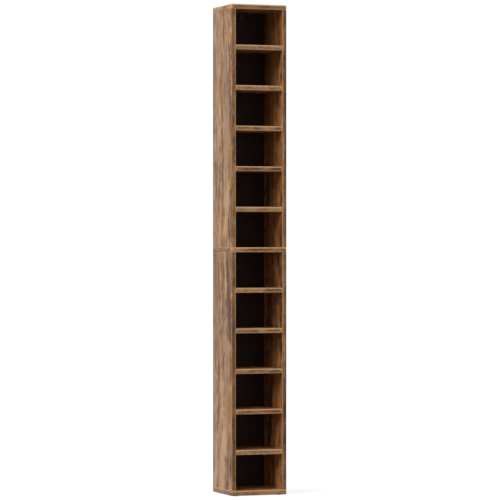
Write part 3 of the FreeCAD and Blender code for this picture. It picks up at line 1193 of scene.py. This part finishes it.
def makeCams():
    body, cuts = bmesh.new(), bmesh.new()
    shape = camShape
    bevel, height, mouth = shape["rimBevel"], shape["cavityHeight"], shape["mouthWidth"] / 2
    for box in fittings["cams"]:
        low, high = box
        side = 1 if low.x > 0 else -1
        centre = middleOf(box)
        radius = (high.z - low.z) / 2
        rings = [(0, radius - bevel), (bevel, radius), (high.x - low.x, radius)]
        turned(body, box, "x", rings, shape["sides"], fromHigh=side < 0)
        face = low.x if side > 0 else high.x
        ends = (face - side * millimetre, face + side * shape["crossDepth"])
        addCross(cuts, centre, 0, ends, (shape["crossWidth"], shape["crossLength"]))
        # the cavity lies about the bolt, which runs in the middle of the side panel's thickness
        x = side * (abs(cadBox[1][0]) + abs(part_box("lower_right_side_panel")[0].x)) / 2
        addCylinder(cuts, (x - height / 2, centre.y, centre.z), (1, 0, 0), height, shape["cavityRadius"],
                    shape["cavitySides"])
        # a narrow slot on the side that the bolt comes in, and on the other a mouth for its head
        bolt = touching("bolts", low, high)[0]
        toBolt = -1 if middleOf(bolt).z < centre.z else 1
        reach = radius + millimetre
        for half, wide, away in ((shape["slotWidth"] / 2, reach, toBolt), (mouth, mouth, -toBolt)):
            addBox(cuts, (x - half, centre.y - wide, centre.z),
                   (x + half, centre.y + wide, centre.z + away * reach))
    makeGroup("zinc_cams", "cam_locks", castZinc, combine(body, cuts))


capShape = {
    "thickness": 0.8 * millimetre,
    "radius": 9.0 * millimetre,
    "edge": 0.35 * millimetre,
    "dish": 0.12 * millimetre,
    "plug": (7.0 * millimetre, 1.4 * millimetre, 1.8 * millimetre),    # length, width and depth
    "sides": 64,
}


def makeCaps():
    # moulded caps over the cams: a rounded rim, a faint dish, and a plug that sits in the cam's cross
    discs, plugs = bmesh.new(), bmesh.new()
    shape = capShape
    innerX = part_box("lower_right_side_panel")[0].x
    thick, radius, edge = shape["thickness"], shape["radius"], shape["edge"]
    profile = [(0, radius), (thick - edge, radius), (thick - edge * 0.5, radius - edge * 0.13),
               (thick - edge * 0.13, radius - edge * 0.5), (thick, radius - edge), (thick, radius - 3 * edge),
               (thick - shape["dish"], radius - 5 * edge), (thick - shape["dish"], radius * 0.2)]
    length, width, depth = shape["plug"]
    for box in fittings["caps"]:
        side = 1 if box[0].x > 0 else -1
        x, y, z = side * innerX, middleOf(box).y, middleOf(box).z
        addRings(discs, (x, y, z), (-side, 0, 0), profile, shape["sides"])
        addBox(plugs, (x - side * thick / 2, y - width / 2, z - length / 2),
               (x + side * depth, y + width / 2, z + length / 2))
    makeGroup("moulded_cam_caps", "cam_caps", capPlastic, combine(discs, plugs, "UNION"))


glideShape = {
    "lip": 0.35 * millimetre,
    "recess": 1.0 * millimetre,
    "recessRadius": 3.2 * millimetre,
    "soleInset": 1.0 * millimetre,
    "sides": 64,
}


def makeGlides():
    # each one is a low moulded foot with a rounded sole and a sunk middle
    work = bmesh.new()
    lip, recess, well = glideShape["lip"], glideShape["recess"], glideShape["recessRadius"]
    for low, high in solidBoxes("glides"):
        radius = (high.x - low.x) / 2
        sole = radius - glideShape["soleInset"]
        height = high.z - low.z
        rings = [(recess, well - lip), (recess * 0.8, well), (lip, well), (0, well + lip), (0, sole - lip),
                 (lip * 0.3, sole - lip * 0.3), (lip, sole), (height - lip, radius - lip * 0.2),
                 (height, radius - lip)]
        turned(work, (low, high), "z", rings, glideShape["sides"])
    makeGroup("moulded_glides", "glides", darkPlastic, work)


bracketShape = {
    "sheet": 2.0 * millimetre,
    "insideBend": 3.0 * millimetre,
    "outsideBend": 1.6 * millimetre,
    "bendSteps": 8,
    "cornerRadius": 4.0 * millimetre,
    "cornerSteps": 6,
    "wallHole": 2.5 * millimetre,
    "screwHole": 2.0 * millimetre,
    "holeDrop": 15.0 * millimetre,
    "holeSides": 40,
    "edgeBevel": 0.25 * millimetre,
    "edgeSteps": 2,
    "edgeOver": math.radians(50),    # only edges sharper than this are softened
}


def bendPoints(centreY, centreZ, radius):
    # a quarter turn from facing up to facing the wall
    steps = bracketShape["bendSteps"]
    angles = [math.pi / 2 * step / steps for step in range(steps + 1)]
    return [(centreY + radius * math.sin(angle), centreZ + radius * math.cos(angle)) for angle in angles]


def makeBracket():
    shape = bracketShape
    low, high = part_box("wall_bracket")
    sheet, inner, outer = shape["sheet"], shape["insideBend"], shape["outsideBend"]
    # the outline from the side: along the ceiling, down the wall, and back
    outline = [(low.y, high.z), *bendPoints(high.y - outer, high.z - outer, outer), (high.y, low.z)]
    back = [(high.y - sheet, low.z)]
    back += bendPoints(high.y - sheet - inner, high.z - sheet - inner, inner)[::-1]
    back.append((low.y, high.z - sheet))
    work = bmesh.new()
    left, right = ([work.verts.new((x, y, z)) for y, z in outline + back] for x in (low.x, high.x))
    for step in range(len(left)):
        after = (step + 1) % len(left)
        work.faces.new((left[step], left[after], right[after], right[step]))
    work.faces.new(left[::-1])
    work.faces.new(right)
    bmesh.ops.recalc_face_normals(work, faces=work.faces[:])

    def isCorner(edge):
        # the four short edges through the sheet at the ends of both legs
        first, last = (vertex.co for vertex in edge.verts)
        if abs(first.x - last.x) > nearly or abs(edge.calc_length() - sheet) > nearly:
            return False
        return max(first.y, last.y) < low.y + nearly or max(first.z, last.z) < low.z + nearly

    bevelEdges(work, isCorner, shape["cornerRadius"], shape["cornerSteps"])
    holes = bmesh.new()
    reach, drop, sides = 2 * sheet, shape["holeDrop"], shape["holeSides"]
    addCylinder(holes, (0, high.y - reach, high.z - drop), (0, 1, 0), 2 * reach, shape["wallHole"], sides)
    addCylinder(holes, (0, high.y - drop, high.z - reach), (0, 0, 1), 2 * reach, shape["screwHole"], sides)
    bracket = makeGroup("bent_wall_bracket", "wall_bracket", darkPaint,
                        combine(work, holes))
    softened = bracket.modifiers.new("pressed edges", "BEVEL")
    softened.width = shape["edgeBevel"]
    softened.segments = shape["edgeSteps"]
    softened.limit_method = "ANGLE"
    softened.angle_limit = shape["edgeOver"]
    softened.harden_normals = True


screwShape = {
    "headHeight": 2.2 * millimetre,
    "core": 1.1 * millimetre,
    "thread": 1.6 * millimetre,
    "threadPitch": 1.3 * millimetre,
    "threadGap": 0.4 * millimetre,       # between the head and the thread
    "tipLength": 2.5 * millimetre,
    "pointLength": 0.8 * millimetre,
    "slotLength": 4.2 * millimetre,
    "slotWidth": 0.9 * millimetre,
    "slotDepth": 1.3 * millimetre,
    "sides": 36,
    "smoothUnder": math.radians(40),
}


def makeScrew():
    shape = screwShape
    low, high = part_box("bracket_screw")
    radius, length = (high.x - low.x) / 2, high.z - low.z
    head, core = shape["headHeight"], shape["core"]
    rings = [(0, radius * 0.35), (head * 0.12, radius * 0.68), (head * 0.35, radius * 0.9),
             (head * 0.65, radius), (head * 0.95, radius), (head, radius * 0.96), (head, core * 1.15)]
    rings += threadRings(head + shape["threadGap"], length - shape["tipLength"] - head, core,
                         shape["thread"] - core, shape["threadPitch"])
    rings += [(length - shape["pointLength"], core * 0.55), (length, core * 0.08)]
    work, cross = bmesh.new(), bmesh.new()
    turned(work, (low, high), "z", rings, shape["sides"])
    ends = (low.z - millimetre, low.z + shape["slotDepth"])
    addCross(cross, middleOf((low, high)), 2, ends, (shape["slotLength"], shape["slotWidth"]))
    makeGroup("cross_head_screw", "bracket_screw", darkPaint, combine(work, cross),
              shape["smoothUnder"])


for side in ("left", "right"):
    makePins(side)
for node in ("end_dowels", "through_dowels"):
    makeDowels(node)
for make in (makeBolts, makeCams, makeCaps, makeGlides, makeBracket, makeScrew):
    make()
print("fittings made")


# floor, light and camera

stageLook = {
    "floorSize": 14.0,
    "floorPaint": (0.3, 0.3, 0.3, 1.0),
    "floorGlow": 0.8,                # what the camera sees on top of the lit paint
    "glowEnds": 48.0 * millimetre,   # this far under the base the glow is gone: painted shade under the tower
    "glowFull": 24.0 * millimetre,   # and here it is still whole
    "ambient": 0.47,
    "backdrop": 1.02,                # the world as the camera sees it
    "white": (1.0, 1.0, 1.0, 1.0),
    "keyStrength": 2.3,
    "keyFrom": (-0.72, -0.2, 0.66),
    "keySpread": 60.0,
    "fillStrength": 0.2,
    "fillFrom": (0.5, -0.8, 0.35),
    "fillSpread": 120.0,
}


def seenDirectly(tree):
    # 1 for camera, glossy and transmission rays
    path = tree.nodes.new("ShaderNodeLightPath").outputs
    return largest(largest(path["Is Camera Ray"], path["Is Glossy Ray"]), path["Is Transmission Ray"])


def makeFloor():
    half = stageLook["floorSize"] / 2
    mesh = bpy.data.meshes.new("studioFloor")
    corners = [(-half, -half, 0), (half, -half, 0), (half, half, 0), (-half, half, 0)]
    mesh.from_pydata(corners, [], [(0, 1, 2, 3)])
    floor = addObject("studioFloor", mesh)
    material = bpy.data.materials.new("palePaint")
    material.use_nodes = True
    tree = material.node_tree
    tree.nodes.clear()
    place = tree.nodes.new("ShaderNodeTexCoord").outputs["Object"]
    x, y, _ = splitVector(place)
    # under the tower's base the glow fades out, which paints a shade there
    beyond = largest(subtract(sizeOf(x), cadBox[1][0]), subtract(sizeOf(y), cadBox[1][1]))
    clear = spread(beyond, -stageLook["glowEnds"], -stageLook["glowFull"])
    lit = multiply(multiply(seenDirectly(tree), clear), stageLook["floorGlow"])
    paint = tree.nodes.new("ShaderNodeBsdfDiffuse")
    paint.inputs["Color"].default_value = stageLook["floorPaint"]
    glow = newNode("Emission", stageLook["white"], lit)
    both = newNode("AddShader", paint.outputs[0], glow.outputs[0])
    newNode("OutputMaterial", both.outputs[0])
    mesh.materials.append(material)


def makeWorld():
    world = bpy.data.worlds.new("paleRoom")
    bpy.context.scene.world = world
    world.use_nodes = True
    background = world.node_tree.nodes["Background"]
    background.inputs["Color"].default_value = stageLook["white"]
    ambient = stageLook["ambient"]
    strength = multiplyAdd(seenDirectly(world.node_tree), stageLook["backdrop"] - ambient, ambient)
    feed(background.inputs["Strength"], strength)


def aim(item, comesFrom):
    item.rotation_mode = "QUATERNION"
    item.rotation_quaternion = Vector(comesFrom).to_track_quat("Z", "Y")


def addSun(name):
    light = bpy.data.lights.new(name + "Light", "SUN")
    light.energy = stageLook[name + "Strength"]
    light.angle = math.radians(stageLook[name + "Spread"])
    aim(addObject(name + "Light", light), stageLook[name + "From"])


makeFloor()
makeWorld()
addSun("key")
addSun("fill")

cameraPlace = {
    "turn": -20.84,            # degrees round the tower from straight in front
    "distance": 9.839,
    "height": 0.8804,
    "sideStep": 0.0015,
    "lens": 195.9,
    "sensor": 36.0,
    "clip": (0.05, 200.0),
}


def makeCamera():
    data = bpy.data.cameras.new("studioCamera")
    data.lens = cameraPlace["lens"]
    data.sensor_width = cameraPlace["sensor"]
    data.clip_start, data.clip_end = cameraPlace["clip"]
    camera = addObject("studioCamera", data)
    turn = math.radians(cameraPlace["turn"])
    back = Vector((math.sin(turn), -math.cos(turn), 0))
    right = Vector((math.cos(turn), math.sin(turn), 0))
    camera.location = back * cameraPlace["distance"] + right * cameraPlace["sideStep"]
    camera.location.z = cameraPlace["height"]
    aim(camera, back)
    bpy.context.scene.camera = camera


makeCamera()
bpy.context.scene.view_settings.view_transform = "Standard"
print("floor, light and camera set")
